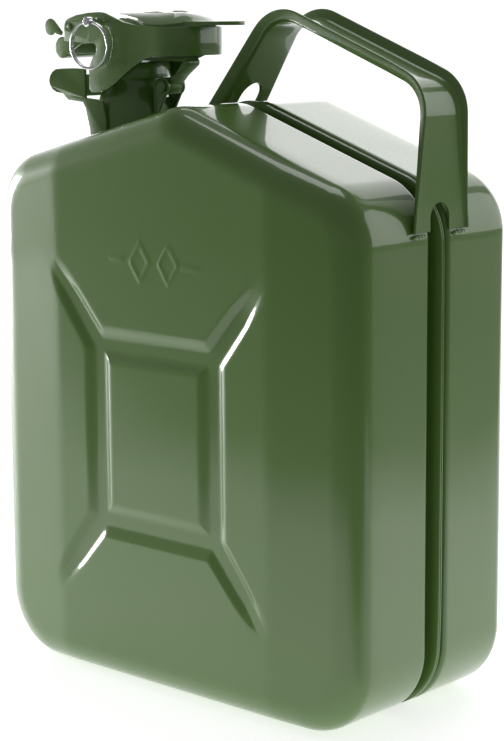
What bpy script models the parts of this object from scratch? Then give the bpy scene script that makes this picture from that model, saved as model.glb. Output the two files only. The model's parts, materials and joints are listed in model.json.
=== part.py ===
"""Five litre steel jerry can with a lever closure.

The can stands on z = 0. X runs along its width (neck at -X, handle foot at +X), the two pressed
halves meet on the plane y = 0, and the object is centred on the Z axis. All sizes are in metres.
"""

import math

import bmesh
import bpy
from mathutils import Matrix, Vector
from mathutils.geometry import delaunay_2d_cdt

# ---------------------------------------------------------------- driving dimensions
MM = 0.001
GAP = 0.3 * MM  # clearance kept between pieces that touch

# body
HALF_W = 114 * MM
HALF_D = 59 * MM
SHEET = 0.9 * MM
EDGE_R = 14.5 * MM  # rounding between pressed face and side wall
FOOT_R = 33 * MM
SHOULDER_R_RIGHT = 29 * MM
SHOULDER_R_LEFT = 30 * MM
PEAK_R = 24 * MM
SHOULDER_Z_RIGHT = 235 * MM
SHOULDER_Z_LEFT = 241 * MM
PEAK_X = 6.2 * MM
PEAK_Z = 272.7 * MM
CORNER_STEPS = 6

# seam round the middle: a recessed channel with the two welded flanges standing in it
CHANNEL_HALF = 6.2 * MM
CHANNEL_DEEP = 7.6 * MM
FLANGE_PROUD = 2.5 * MM
FLANGE_FLUSH = -0.4 * MM  # under the can the flange stays inside the foot plane

# pressed faces
CREASE_X = 65 * MM
MARGIN_SLOPE = 0.10
PATTERN_X = -2.7 * MM  # the pressed pattern sits slightly towards the neck
RING_X = 36.3 * MM  # half width of the sunk ring, to its centre line
RING_Z_TOP = 161.7 * MM
RING_Z_BOTTOM = 78.3 * MM
ARM_ANGLE = math.radians(50)
ARM_REACH_X = 33 * MM
ARM_FULL = 0.5  # share of an arm's length that is sunk to the full depth
GROOVE_TOP = 8.7 * MM  # half width at the face
GROOVE_FLOOR = 3.1 * MM
ARM_TOP = 6.2 * MM  # the same at the end of an arm
ARM_FLOOR = 2.2 * MM
GROOVE_DEEP = 1.9 * MM

# neck and closure
NECK_X = -72 * MM
NECK_R = 18.9 * MM
NECK_TOP_R = 14.2 * MM
NECK_LIP_R = 15.6 * MM
NECK_TOP_Z = 284 * MM
NECK_BOTTOM_Z = 237 * MM
NECK_WALL = 1.5 * MM
CAP_R = 17.8 * MM
CAP_SKIRT_Z = 281.5 * MM
CAP_TOP_Z = 289.5 * MM
CAP_WALL = 1.2 * MM
HINGE_X = -47 * MM
HINGE_Z = 278 * MM
HINGE_PIN_R = 2.0 * MM
PIVOT_X = -95.3 * MM
PIVOT_Z = 306.2 * MM
PIVOT_R = 1.5 * MM
LEVER_HALF_Y = 20 * MM
LEVER_SHEET = 1.3 * MM
BAR_X = -103 * MM
BAR_Z = 296 * MM
BAR_R = 5.2 * MM
LOCK_X = -77.3 * MM
LOCK_Z = 308.4 * MM
LOCK_R = 1.5 * MM
RING_R = 11.0 * MM
RING_TURN = math.radians(8)  # the ring hangs slightly turned in its eye
RING_WIRE = 1.0 * MM

# handle
HANDLE_SHEET = 1.2 * MM
HANDLE_FOOT_Z = 219.8 * MM
HANDLE_LEG_X = 113.2 * MM
SPLAY = math.radians(17)
ARCH_HALF = 6.6 * MM

# the outermost points are the handle's flange and the seam flange, so the model moves by half their difference
CENTRING_X = -0.73 * MM

GREEN = (0.095, 0.165, 0.055, 1.0)


# ---------------------------------------------------------------- helpers
def clear_scene():
    for obj in list(bpy.data.objects):
        bpy.data.objects.remove(obj, do_unlink=True)


def material(name, colour, roughness, metallic):
    mat = bpy.data.materials.new(name)
    mat.use_nodes = True
    shader = mat.node_tree.nodes["Principled BSDF"]
    shader.inputs["Base Color"].default_value = colour
    shader.inputs["Roughness"].default_value = roughness
    shader.inputs["Metallic"].default_value = metallic
    return mat


def object_from(name, bm, mat=None, origin=(0, 0, 0), angle=35):
    bmesh.ops.remove_doubles(bm, verts=bm.verts, dist=1e-6)
    bmesh.ops.recalc_face_normals(bm, faces=bm.faces)
    bm.normal_update()
    if bm.calc_volume(signed=True) < 0:
        bmesh.ops.reverse_faces(bm, faces=bm.faces)
    shift = Vector(origin)
    bmesh.ops.translate(bm, verts=bm.verts, vec=-shift)
    mesh = bpy.data.meshes.new(name)
    bm.to_mesh(mesh)
    bm.free()
    mesh.shade_smooth()
    mesh.set_sharp_from_angle(angle=math.radians(angle))
    obj = bpy.data.objects.new(name, mesh)
    obj.location = shift
    bpy.context.scene.collection.objects.link(obj)
    if mat:
        mesh.materials.append(mat)
    return obj


def helper(obj):
    obj.hide_render = True
    obj.display_type = "WIRE"
    return obj


def boolean(obj, other, operation="DIFFERENCE"):
    helper(other)
    mod = obj.modifiers.new(operation.lower(), "BOOLEAN")
    mod.operation = operation
    mod.solver = "EXACT"
    mod.object = other
    return obj


def loft(bm, loops, closed_ring=False, caps=True):
    """Bridge equal-length closed loops of points."""
    rows = [[bm.verts.new(p) for p in loop] for loop in loops]
    pairs = list(zip(rows, rows[1:]))
    if closed_ring:
        pairs.append((rows[-1], rows[0]))
    for low, high in pairs:
        count = len(low)
        for i in range(count):
            j = (i + 1) % count
            bm.faces.new((low[i], low[j], high[j], high[i]))
    if caps and not closed_ring:
        bm.faces.new(rows[0])
        bm.faces.new(rows[-1])
    return rows


def prism_xz(name, points, y0, y1, mat=None, origin=(0, 0, 0)):
    """Plate with an outline in the XZ plane (millimetres) between two y values."""
    bm = bmesh.new()
    loft(bm, [[(x * MM, y * MM, z * MM) for x, z in points] for y in (y0, y1)])
    return object_from(name, bm, mat, origin)


def prism_xy(name, points, z0, z1, mat=None, origin=(0, 0, 0)):
    bm = bmesh.new()
    loft(bm, [[(x * MM, y * MM, z * MM) for x, y in points] for z in (z0, z1)])
    return object_from(name, bm, mat, origin)


def rod_y(name, x, z, radius, y0, y1, mat=None, steps=20, origin=None):
    ring = [(math.cos(a) * radius, math.sin(a) * radius) for a in turns(steps)]
    bm = bmesh.new()
    loft(bm, [[(x + u, y, z + v) for u, v in ring] for y in (y0, y1)])
    return object_from(name, bm, mat, (x, 0, z) if origin is None else origin)


def turns(steps):
    return [2 * math.pi * i / steps for i in range(steps)]


def lathe(name, profile, centre, mat=None, steps=36, origin=None):
    """Turn a closed profile of (radius, z) round a vertical axis. Radius 0 may start and end it."""
    bm = bmesh.new()
    rows = []
    for radius, z in profile:
        if radius <= 0:
            rows.append([bm.verts.new((centre[0], centre[1], z))])
        else:
            rows.append(
                [
                    bm.verts.new((centre[0] + radius * math.cos(a), centre[1] + radius * math.sin(a), z))
                    for a in turns(steps)
                ]
            )
    on_axis = profile[0][0] <= 0
    pairs = list(zip(rows, rows[1:]))
    if not on_axis:
        pairs.append((rows[-1], rows[0]))
    for low, high in pairs:
        for i in range(steps):
            j = (i + 1) % steps
            if len(low) == 1:
                bm.faces.new((low[0], high[j], high[i]))
            elif len(high) == 1:
                bm.faces.new((low[i], low[j], high[0]))
            else:
                bm.faces.new((low[i], low[j], high[j], high[i]))
    return object_from(name, bm, mat, origin or (centre[0], centre[1], 0))


def arc(cx, cz, radius, start, stop, steps):
    """Points of an arc in millimetres, angles in degrees."""
    return [
        (
            cx + radius * math.cos(math.radians(start + (stop - start) * i / steps)),
            cz + radius * math.sin(math.radians(start + (stop - start) * i / steps)),
        )
        for i in range(steps + 1)
    ]


def rounded(points, radii, steps):
    """Rounded polygon: list of (point, outward normal) pairs, counter-clockwise."""
    out = []
    count = len(points)
    for i, corner in enumerate(points):
        p = Vector(corner)
        a = (Vector(points[i - 1]) - p).normalized()
        b = (Vector(points[(i + 1) % count]) - p).normalized()
        half = a.angle(b) / 2
        centre = p + (a + b).normalized() * radii[i] / math.sin(half)
        start = p + a * radii[i] / math.tan(half) - centre
        stop = p + b * radii[i] / math.tan(half) - centre
        turn = start.angle_signed(stop)
        base = math.atan2(start.y, start.x)
        for k in range(steps + 1):
            angle = base - turn * k / steps
            normal = Vector((math.cos(angle), math.sin(angle)))
            out.append((centre + normal * radii[i], normal))
    return out


# ---------------------------------------------------------------- body shells
def can_outline(steps=CORNER_STEPS, straight=45 * MM):
    corners = [
        (-HALF_W, 0),
        (HALF_W, 0),
        (HALF_W, SHOULDER_Z_RIGHT),
        (PEAK_X, PEAK_Z),
        (-HALF_W, SHOULDER_Z_LEFT),
    ]
    radii = [FOOT_R, FOOT_R, SHOULDER_R_RIGHT, PEAK_R, SHOULDER_R_LEFT]
    ring = rounded(corners, radii, steps)
    out = []
    for i, (point, normal) in enumerate(ring):
        out.append((point, normal))
        after, after_normal = ring[(i + 1) % len(ring)]
        length = (after - point).length
        if normal.dot(after_normal) > 0.9999 and length > straight:
            parts = math.ceil(length / straight)
            for k in range(1, parts):
                out.append((point.lerp(after, k / parts), normal))
    return out


def groove_lines():
    """Centre lines of the sunk ring and its four arms, each with True for an arm."""
    rise = ARM_REACH_X * math.tan(ARM_ANGLE)
    lines = []
    for side in (-1, 1):
        x, end = PATTERN_X + side * RING_X, PATTERN_X + side * (RING_X + ARM_REACH_X)
        lines.append(((x, RING_Z_BOTTOM), (x, RING_Z_TOP), False))
        lines.append(((x, RING_Z_TOP), (end, RING_Z_TOP + rise), True))
        lines.append(((x, RING_Z_BOTTOM), (end, RING_Z_BOTTOM - rise), True))
    for z in (RING_Z_TOP, RING_Z_BOTTOM):
        lines.append(((PATTERN_X - RING_X, z), (PATTERN_X + RING_X, z), False))
    return lines


def groove_depth(x, z):
    best = 0.0
    for (ax, az), (bx, bz), arm in groove_lines():
        dx, dz = bx - ax, bz - az
        t = ((x - ax) * dx + (z - az) * dz) / (dx * dx + dz * dz)
        t = min(1.0, max(0.0, t))
        away = math.hypot(x - ax - t * dx, z - az - t * dz)
        share = t if arm else 0.0
        top = GROOVE_TOP + (ARM_TOP - GROOVE_TOP) * share
        floor = GROOVE_FLOOR + (ARM_FLOOR - GROOVE_FLOOR) * share
        deep = min(1.0, (1.0 - share) / (1.0 - ARM_FULL))
        best = max(best, GROOVE_DEEP * deep * min(1.0, max(0.0, (top - away) / (top - floor))))
    return best


def face_depth(x, z):
    """How far the pressed face lies behind its highest plane."""
    margin = max(0.0, abs(x) - CREASE_X) * MARGIN_SLOPE
    return max(margin, groove_depth(x, z))


def groove_loops(half, end):
    """Outline of the sunk network at `half` from the ring's centre line, and at `end` where an arm ends."""
    sin, cos = math.sin(ARM_ANGLE), math.cos(ARM_ANGLE)
    length = ARM_REACH_X / cos
    middle = half + (end - half) * ARM_FULL

    def beside(share, across):
        return (
            RING_X + cos * length * share - sin * across,
            sin * length * share + cos * across,
        )

    quarter = [
        (0.0, half),
        (RING_X - half * math.tan(ARM_ANGLE / 2), half),
        beside(ARM_FULL, middle),
        beside(1.0, end),
        beside(1.0, -end),
        beside(ARM_FULL, -middle),
        (RING_X + half, -half * (1 - sin) / cos),
    ]
    top = [(x, RING_Z_TOP + z) for x, z in quarter]
    bottom = [(x, RING_Z_BOTTOM - z) for x, z in reversed(quarter)]
    right = top + bottom
    left = [(-x, z) for x, z in reversed(right) if x > 0]
    outer = [(x + PATTERN_X, z) for x, z in right + left]
    inner = [
        (PATTERN_X + RING_X - half, RING_Z_BOTTOM + half),
        (PATTERN_X + RING_X - half, RING_Z_TOP - half),
        (PATTERN_X - RING_X + half, RING_Z_TOP - half),
        (PATTERN_X - RING_X + half, RING_Z_BOTTOM + half),
    ]
    return [outer, inner]


def face_mesh(border):
    """Triangles over the flat part of a pressed face, with the creases and grooves as edges."""
    points = [Vector(p) for p in border]
    count = len(points)
    edges = [(i, (i + 1) % count) for i in range(count)]
    faces = [list(range(count))]
    loops = groove_loops(GROOVE_TOP, ARM_TOP) + groove_loops(GROOVE_FLOOR, ARM_FLOOR)
    for loop in loops:
        base = len(points)
        points += [Vector(p) for p in loop]
        edges += [(base + i, base + (i + 1) % len(loop)) for i in range(len(loop))]
    for side in (-1, 1):
        base = len(points)
        low, high = [], []
        for (ax, az), (bx, bz) in zip(border, border[1:] + border[:1]):
            x = side * CREASE_X
            if (ax - x) * (bx - x) <= 0 and ax != bx:
                z = az + (bz - az) * (x - ax) / (bx - ax)
                (low if z < 120 * MM else high).append(z)
        points += [Vector((side * CREASE_X, low[0] + 0.4 * MM)), Vector((side * CREASE_X, high[0] - 0.4 * MM))]
        edges.append((base, base + 1))
    verts, _, tris, *_ = delaunay_2d_cdt(points, edges, faces, 1, 1e-7)
    return verts, tris


def shell(name, side, mat):
    """One pressed half: side is -1 for the front half and +1 for the rear half."""
    ring = can_outline()
    flat = HALF_D - EDGE_R
    bm = bmesh.new()
    border = []
    for point, normal in ring:
        inner = point - normal * EDGE_R
        border.append((inner.x, inner.y))
    verts, tris = face_mesh(border)
    face = [bm.verts.new((v.x, side * (HALF_D - face_depth(v.x, v.y)), v.y)) for v in verts]
    for tri in tris:
        bm.faces.new([face[i] for i in tri])

    def level(inset, y):
        row = []
        for point, normal in ring:
            p = point - normal * inset(normal) if callable(inset) else point - normal * inset
            row.append((p.x, side * (y(point, normal) if callable(y) else y), p.y))
        return row

    loops = []
    for k in range(5):
        angle = math.pi / 2 * k / 4

        def depth(point, normal, angle=angle):
            start = point - normal * EDGE_R
            return flat + (EDGE_R - face_depth(start.x, start.y)) * math.cos(angle)

        loops.append(level(EDGE_R * (1 - math.sin(angle)), depth))

    def flange_tip(normal):
        return -(FLANGE_FLUSH if normal.y < -0.6 else FLANGE_PROUD if normal.y > -0.05 else 1.2 * MM)

    wall = 2.0 * MM
    root = 1.05 * MM
    loops += [
        level(0, CHANNEL_HALF + wall),
        level(0.6 * MM, CHANNEL_HALF + 0.5 * MM),
        level(2.0 * MM, CHANNEL_HALF),
        level(CHANNEL_DEEP - 1.2 * MM, CHANNEL_HALF - 0.4 * MM),
        level(CHANNEL_DEEP, CHANNEL_HALF - 1.4 * MM),
        level(CHANNEL_DEEP, root + 1.0 * MM),
        level(CHANNEL_DEEP - 0.8 * MM, root),
        level(flange_tip, root),
    ]
    loft(bm, loops, caps=False)
    bmesh.ops.remove_doubles(bm, verts=bm.verts, dist=2e-6)
    obj = open_sheet(name, bm, mat, side)
    hole = rod_z("hole_" + name, NECK_X, 0, NECK_R + 0.4 * MM, 225 * MM, 276 * MM)
    boolean(obj, hole)
    return obj


def open_sheet(name, bm, mat, side):
    """Turn an open skin into sheet metal, thickened inwards."""
    bmesh.ops.recalc_face_normals(bm, faces=bm.faces)
    bm.normal_update()
    flat = max(bm.faces, key=lambda f: abs(f.normal.y) * f.calc_area())
    if flat.normal.y * side < 0:
        bmesh.ops.reverse_faces(bm, faces=bm.faces)
    mesh = bpy.data.meshes.new(name)
    bm.to_mesh(mesh)
    bm.free()
    mesh.shade_smooth()
    mesh.set_sharp_from_angle(angle=math.radians(35))
    mesh.materials.append(mat)
    obj = bpy.data.objects.new(name, mesh)
    bpy.context.scene.collection.objects.link(obj)
    mod = obj.modifiers.new("sheet", "SOLIDIFY")
    mod.thickness = SHEET
    mod.offset = -1
    mod.use_even_offset = True
    return obj


def rod_z(name, x, y, radius, z0, z1, mat=None, steps=40):
    ring = [(math.cos(a) * radius, math.sin(a) * radius) for a in turns(steps)]
    bm = bmesh.new()
    loft(bm, [[(x + u, y + v, z) for u, v in ring] for z in (z0, z1)])
    return object_from(name, bm, mat)


def roof_z(x):
    """Height of the roof planes, without the rounding at the peak, in metres."""
    if x < PEAK_X:
        return PEAK_Z - (PEAK_Z - SHOULDER_Z_LEFT) / (PEAK_X + HALF_W) * (PEAK_X - x)
    return PEAK_Z - (PEAK_Z - SHOULDER_Z_RIGHT) / (HALF_W - PEAK_X) * (x - PEAK_X)


# ---------------------------------------------------------------- neck
def neck_profile():
    inner = NECK_R - NECK_WALL
    return [
        (inner, NECK_BOTTOM_Z),
        (NECK_R, NECK_BOTTOM_Z),
        (NECK_R, 264 * MM),
        (NECK_R - 0.6 * MM, 268.5 * MM),
        (NECK_R - 2.2 * MM, 273 * MM),
        (NECK_TOP_R, 279.5 * MM),
        (NECK_TOP_R, 281.4 * MM),
        (NECK_LIP_R, 282.4 * MM),
        (NECK_LIP_R, 283.4 * MM),
        (NECK_LIP_R - 0.7 * MM, NECK_TOP_Z),
        (NECK_TOP_R - NECK_WALL + 0.3 * MM, NECK_TOP_Z),
        (NECK_TOP_R - NECK_WALL, 283 * MM),
        (NECK_TOP_R - NECK_WALL, 279.5 * MM),
        (inner - 2.2 * MM, 272.6 * MM),
        (inner - 0.6 * MM, 268.2 * MM),
        (inner, 264 * MM),
    ]


def sweep(name, path, section, mat, origin=(0, 0, 0), holes=False):
    """Sweep a ring of (u, v) section points along a path in an XZ plane; u is across the path, v along Y."""
    loops = []
    for i, point in enumerate(path):
        before = path[max(0, i - 1)]
        after = path[min(len(path) - 1, i + 1)]
        tangent = (Vector(after) - Vector(before)).normalized()
        across = Vector((-tangent.z, 0, tangent.x))
        loops.append([Vector(point) + across * u + Vector((0, v, 0)) for u, v in section])
    bm = bmesh.new()
    loft(bm, loops, caps=True)
    return object_from(name, bm, mat, origin)


def vent_tube(mat):
    x0 = NECK_X + 9.2 * MM
    path = [(x0, 0, 280 * MM), (x0, 0, 262 * MM), (x0, 0, 242 * MM)]
    path += [(x0 + r * MM, 0, z * MM) for r, z in ((1.4, 236.5), (4.8, 233), (10, 232))]
    path += [(-34 * MM, 0, 234.5 * MM), (-10 * MM, 0, 242 * MM), (10 * MM, 0, 248 * MM)]
    steps = 12
    outer = [(3 * MM * math.cos(a), 3 * MM * math.sin(a)) for a in turns(steps)]
    bore = [(2.2 * MM * math.cos(a), 2.2 * MM * math.sin(a)) for a in turns(steps)]
    bm = bmesh.new()
    rows = []
    for section in (outer, bore):
        loops = []
        for i, point in enumerate(path):
            before = path[max(0, i - 1)]
            after = path[min(len(path) - 1, i + 1)]
            tangent = (Vector(after) - Vector(before)).normalized()
            across = Vector((-tangent.z, 0, tangent.x))
            loops.append([Vector(point) + across * u + Vector((0, v, 0)) for u, v in section])
        rows.append(loft(bm, loops, caps=False))
    for end in (0, -1):
        a, b = rows[0][end], rows[1][end]
        for i in range(steps):
            j = (i + 1) % steps
            bm.faces.new((a[i], a[j], b[j], b[i]))
    return object_from("vent_tube", bm, mat)


# ---------------------------------------------------------------- handle
def handle_path():
    """Hand side of the handle's web: left foot, top bar and right leg, as (x, z) in metres."""
    leg = HANDLE_LEG_X / MM
    corners = [(-7.0, 258.0), (30.4, 311.9), (leg, 279.6), (leg, HANDLE_FOOT_Z / MM)]
    radii = [0, 17.0, 15.0, 0]
    path = [corners[0]]
    for i in (1, 2):
        p, a, b = Vector(corners[i]), Vector(corners[i - 1]), Vector(corners[i + 1])
        u, v = (a - p).normalized(), (b - p).normalized()
        half = u.angle(v) / 2
        centre = p + (u + v).normalized() * radii[i] / math.sin(half)
        start = p + u * radii[i] / math.tan(half) - centre
        stop = p + v * radii[i] / math.tan(half) - centre
        base, turn = math.atan2(start.y, start.x), start.angle_signed(stop)
        if i == 1:
            path += [tuple(Vector(corners[0]).lerp(centre + start, t)) for t in (0.35, 0.7)]
        else:
            last = Vector(path[-1])
            path += [tuple(last.lerp(centre + start, t)) for t in (0.25, 0.5, 0.75)]
        for k in range(7):
            angle = base - turn * k / 6
            path.append(tuple(centre + Vector((math.cos(angle), math.sin(angle))) * radii[i]))
    last = Vector(path[-1])
    path += [tuple(last.lerp(Vector(corners[3]), t)) for t in (0.25, 0.5, 0.75, 1.0)]
    return [Vector((x * MM, 0, z * MM)) for x, z in path]


def handle_section(half, height):
    """Closed outline of the channel section as (across, along y): web at 0, flanges outwards."""
    t = HANDLE_SHEET
    r = 2.6 * MM
    splay_y, splay_v = math.sin(SPLAY), math.cos(SPLAY)
    # hand-side line from one flange tip to the other
    side = [(0.0, half - r)]
    for k in (1, 2):
        a = (math.pi / 2 - SPLAY) * k / 3
        side.append((r * (1 - math.cos(a)), half - r + r * math.sin(a)))
    a = math.pi / 2 - SPLAY
    knee = (r * (1 - math.cos(a)), half - r + r * math.sin(a))
    side.append(knee)
    run = max(0.2 * MM, (height - knee[0]) / splay_v)
    side.append((knee[0] + run * splay_v, knee[1] + run * splay_y))
    tip = side[-1]
    inner = [(tip[0] + t * splay_y * 0.0 + 0.0, tip[1] - t / splay_v)]
    inner.append((knee[0] + t * splay_y, knee[1] - t * splay_v))
    inner.append((t + 0.25 * (r - t), half - r + (r - t) * 0.6))
    inner.append((t, half - r))
    right = side + inner
    left = [(u, -v) for u, v in reversed(right)]
    hand = [p for p in left if p in [(u, -v) for u, v in side]]
    back = [p for p in left if p not in hand]
    # walk: hand side from -y to +y, then the back side from +y to -y
    return hand + side + inner + back


def handle(mat):
    path = handle_path()
    total = sum((b - a).length for a, b in zip(path, path[1:]))
    loops = []
    run = 0.0
    for i, point in enumerate(path):
        if i:
            run += (point - path[i - 1]).length
        before, after = path[max(0, i - 1)], path[min(len(path) - 1, i + 1)]
        tangent = (after - before).normalized()
        across = Vector((-tangent.z, 0, tangent.x))
        share = run / total
        foot, leg = max(0.0, 1 - share / 0.26), max(0.0, (share - 0.62) / 0.38)
        half = 12.8 * MM + 4.0 * MM * foot + 6.4 * MM * leg**1.3
        height = 5.8 * MM + 1.4 * MM * foot - 3.4 * MM * leg**1.2
        loops.append([point + across * u + Vector((0, v, 0)) for u, v in handle_section(half, height)])
    bm = bmesh.new()
    loft(bm, loops)
    obj = object_from("handle", bm, mat)
    # the feet are trimmed to the can's surface
    ring = can_outline(8, 400 * MM)
    bm = bmesh.new()
    loft(bm, [[((p + n * 0.35 * MM).x, y, (p + n * 0.35 * MM).y) for p, n in ring] for y in (-HALF_D, HALF_D)])
    boolean(obj, object_from("body_cutter", bm))
    # arches over the seam flange
    right = [(-ARCH_HALF / MM, 210.0)] + [
        (y, z) for y, z in arc(0, 225.4, ARCH_HALF / MM, 180, 0, 10)
    ] + [(ARCH_HALF / MM, 210.0)]
    bm = bmesh.new()
    loft(bm, [[(x * MM, y * MM, z * MM) for y, z in right] for x in (100, 130)])
    boolean(obj, object_from("arch_cutter_right", bm))
    left = [(-ARCH_HALF / MM, 255.0)] + [
        (y, z) for y, z in arc(0, 274.0, ARCH_HALF / MM, 180, 0, 10)
    ] + [(ARCH_HALF / MM, 255.0)]
    bm = bmesh.new()
    loft(bm, [[(x * MM, y * MM, z * MM) for y, z in left] for x in (-30, 40)])
    boolean(obj, object_from("arch_cutter_left", bm))
    return obj


def weld_bead(name, centre, size, mat):
    """Short bead along Y where one side of a handle foot meets the can."""
    bm = bmesh.new()
    made = bmesh.ops.create_icosphere(bm, subdivisions=2, radius=MM)
    for v in made["verts"]:
        v.co = Vector(centre) + Vector((v.co.x * size[0], v.co.y * size[1], v.co.z * size[2]))
        v.co.x = max(v.co.x, HALF_W + 0.35 * MM)
    return object_from(name, bm, mat, centre)


# ---------------------------------------------------------------- brackets on the neck
def claw(mat):
    """U bracket round the outer side of the neck: two cheeks with flared ears, joined by a web."""
    fold = -100.5
    outline = [(-84.8, 286.0), (-92.0, 286.3), (fold, 286.2)]
    outline += [(-101.6 - 5.6 * math.sin(math.pi * k / 8), 280.2 + 6.0 * math.cos(math.pi * k / 8)) for k in range(1, 8)]
    outline += [(fold, 274.0), (-98.6, 272.2), (-96.6, 271.0), (-86.4, 270.2), (-84.6, 267.5)]
    outline += [(-81.8, 257.0), (-81.5, roof_z(-81.5 * MM) / MM + 0.6), (-70.6, roof_z(-70.6 * MM) / MM + 0.6)]
    outline += [(-70.6, 262.0), (-72.4, 270.4), (-76.0, 271.6), (-84.8, 272.2)]
    cheek_in, cheek_out = 19.2, 20.6
    bm = bmesh.new()
    for side in (-1, 1):
        loops = []
        for y in (cheek_in, cheek_out):
            row = []
            for x, z in outline:
                flare = max(0.0, fold - x) * 0.42
                row.append((x * MM, side * (y + flare) * MM, z * MM))
            loops.append(row)
        loft(bm, loops)
    web = bmesh.new()
    plan = [(-97.0, -19.9), (-95.7, -19.9), (-95.7, 19.9), (-97.0, 19.9)]
    loft(web, [[(x * MM, y * MM, z * MM) for x, y in plan] for z in (272.5, 283.0)])
    obj = object_from("front_claw", bm, mat)
    boolean(obj, object_from("claw_web", web), "UNION")
    return obj


def rear_bracket(mat):
    """U bracket on the handle side of the neck that carries the hinge pin."""
    hx, hz = HINGE_X / MM, HINGE_Z / MM
    outline = [(-53.0, 265.0), (-49.6, 266.0)]
    outline += arc(hx, hz, 4.3, -60, 110, 8)
    outline += [(-53.0, 280.2)]
    bm = bmesh.new()
    for side in (-1, 1):
        loft(bm, [[(x * MM, side * y * MM, z * MM) for x, z in outline] for y in (4.4, 5.7)])
    obj = object_from("rear_bracket", bm, mat)
    web = bmesh.new()
    plan = [(-52.8, -5.0), (-51.6, -5.0), (-51.6, 5.0), (-52.8, 5.0)]
    loft(web, [[(x * MM, y * MM, z * MM) for x, y in plan] for z in (265.6, 272.6)])
    boolean(obj, object_from("bracket_web", web), "UNION")
    boolean(obj, rod_y("bracket_bore", HINGE_X, HINGE_Z, HINGE_PIN_R + GAP, -12 * MM, 12 * MM))
    return obj


def hinge_pin(mat):
    x, z, r = HINGE_X, HINGE_Z, HINGE_PIN_R
    bm = bmesh.new()
    stations = [(-7.1, 0.7), (-7.1, 1.3), (-6.8, 1.5), (-6.0, 1.5), (-6.0, 1.0)]
    stations += [(-y, s) for y, s in reversed(stations)]
    loops = [
        [(x + s * r * math.cos(a), y * MM, z + s * r * math.sin(a)) for a in turns(16)] for y, s in stations
    ]
    loft(bm, loops)
    return object_from("hinge_pin", bm, mat, (x, 0, z))


# ---------------------------------------------------------------- cap
def cap_frame():
    """Parent of everything that swings with the cap, on the hinge axis."""
    empty = bpy.data.objects.new("cap_frame", None)
    empty.location = (HINGE_X, 0, HINGE_Z)
    bpy.context.scene.collection.objects.link(empty)
    return empty


def cap(mat):
    t = CAP_WALL
    profile = [
        (0, CAP_TOP_Z),
        (CAP_R - 1.6 * MM, CAP_TOP_Z),
        (CAP_R - 0.5 * MM, CAP_TOP_Z - 0.5 * MM),
        (CAP_R, CAP_TOP_Z - 1.6 * MM),
        (CAP_R, CAP_SKIRT_Z + 0.4 * MM),
        (CAP_R - 0.4 * MM, CAP_SKIRT_Z),
        (CAP_R - t, CAP_SKIRT_Z),
        (CAP_R - t, CAP_TOP_Z - t - 0.6 * MM),
        (CAP_R - t - 0.6 * MM, CAP_TOP_Z - t),
        (0, CAP_TOP_Z - t),
    ]
    obj = lathe("cap", profile, (NECK_X, 0), mat, 40)
    boolean(obj, rod_z("cap_rivet_hole", NECK_X, 0, 2.4 * MM, 280 * MM, 292 * MM, steps=16))
    return obj


def gasket(mat):
    low, high = NECK_TOP_Z + GAP, CAP_TOP_Z - CAP_WALL - GAP
    profile = [(2.5 * MM, low), (15.9 * MM, low), (15.9 * MM, high), (2.5 * MM, high)]
    return lathe("gasket", profile, (NECK_X, 0), mat, 32)


def cap_rivet(mat):
    """Rivet through gasket, cap and hinge arm."""
    profile = [
        (0, 282.6 * MM),
        (3.4 * MM, 282.6 * MM),
        (4.6 * MM, 283.4 * MM),
        (4.6 * MM, NECK_TOP_Z),
        (2.1 * MM, NECK_TOP_Z),
        (2.1 * MM, 293.4 * MM),
        (4.4 * MM, 293.4 * MM),
        (3.4 * MM, 294.8 * MM),
        (0, 295.2 * MM),
    ]
    return lathe("cap_rivet", profile, (NECK_X, 0), mat, 16)


def hinge_arm(mat):
    """Strap from the top of the cap, round the back and down to a curled knuckle on the hinge pin."""
    hx, hz = HINGE_X / MM, HINGE_Z / MM
    t = 1.5
    outer = [(-83.0, 291.3), (-60.0, 291.3), (-33.4, 291.3)]
    outer += arc(-33.4, 289.3, 2.0, 60, -40, 4)
    outer += [(-38.6, 283.2), (-41.2, 280.6)]
    outer += arc(hx, hz, 4.2, 14, -200, 9)
    inner = arc(hx, hz, 4.2, 150, 66, 4)
    inner += [(-40.2, 283.6), (-34.6, 289.8), (-60.0, 291.3 - t), (-83.0, 291.3 - t)]
    obj = prism_xz("hinge_arm", outer + inner, -4.0, 4.0, mat, (HINGE_X, 0, HINGE_Z))
    boolean(obj, rod_y("arm_bore", HINGE_X, HINGE_Z, HINGE_PIN_R + GAP, -12 * MM, 12 * MM))
    boolean(obj, rod_z("arm_rivet_hole", NECK_X, 0, 2.4 * MM, 286 * MM, 293 * MM, steps=16))
    return obj


def pivot_bracket(mat):
    """U plate on the cap with two ears that reach over the cross bar's path to the lever's pivot pin."""
    px, pz = PIVOT_X / MM, PIVOT_Z / MM
    ear = [(-77.4, 291.7), (-62.0, 291.7), (-62.0, 295.0), (-66.0, 303.0), (-70.0, 308.0), (-74.5, 309.6)]
    ear += arc(px, pz, 4.0, 60, 300, 10)
    ear += [(-90.0, 304.6), (-80.6, 304.6), (-77.4, 301.4)]
    bm = bmesh.new()
    for side in (-1, 1):
        loft(bm, [[(x * MM, side * y * MM, z * MM) for x, z in ear] for y in (15.2, 16.6)])
    obj = object_from("pivot_bracket", bm, mat)
    base = bmesh.new()
    plan = [(-80.8, -15.6), (-77.0, -16.0), (-62.5, -16.0), (-62.5, 16.0), (-77.0, 16.0), (-80.8, 15.6)]
    loft(base, [[(x * MM, y * MM, z * MM) for x, y in plan] for z in (291.7, 293.1)])
    boolean(obj, object_from("bracket_base", base), "UNION")
    boolean(obj, rod_z("base_rivet_hole", NECK_X, 0, 2.4 * MM, 290 * MM, 296 * MM, steps=16))
    boolean(obj, rod_y("ear_bore", PIVOT_X, PIVOT_Z, PIVOT_R + GAP, -18 * MM, 18 * MM, steps=14))
    return obj


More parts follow.
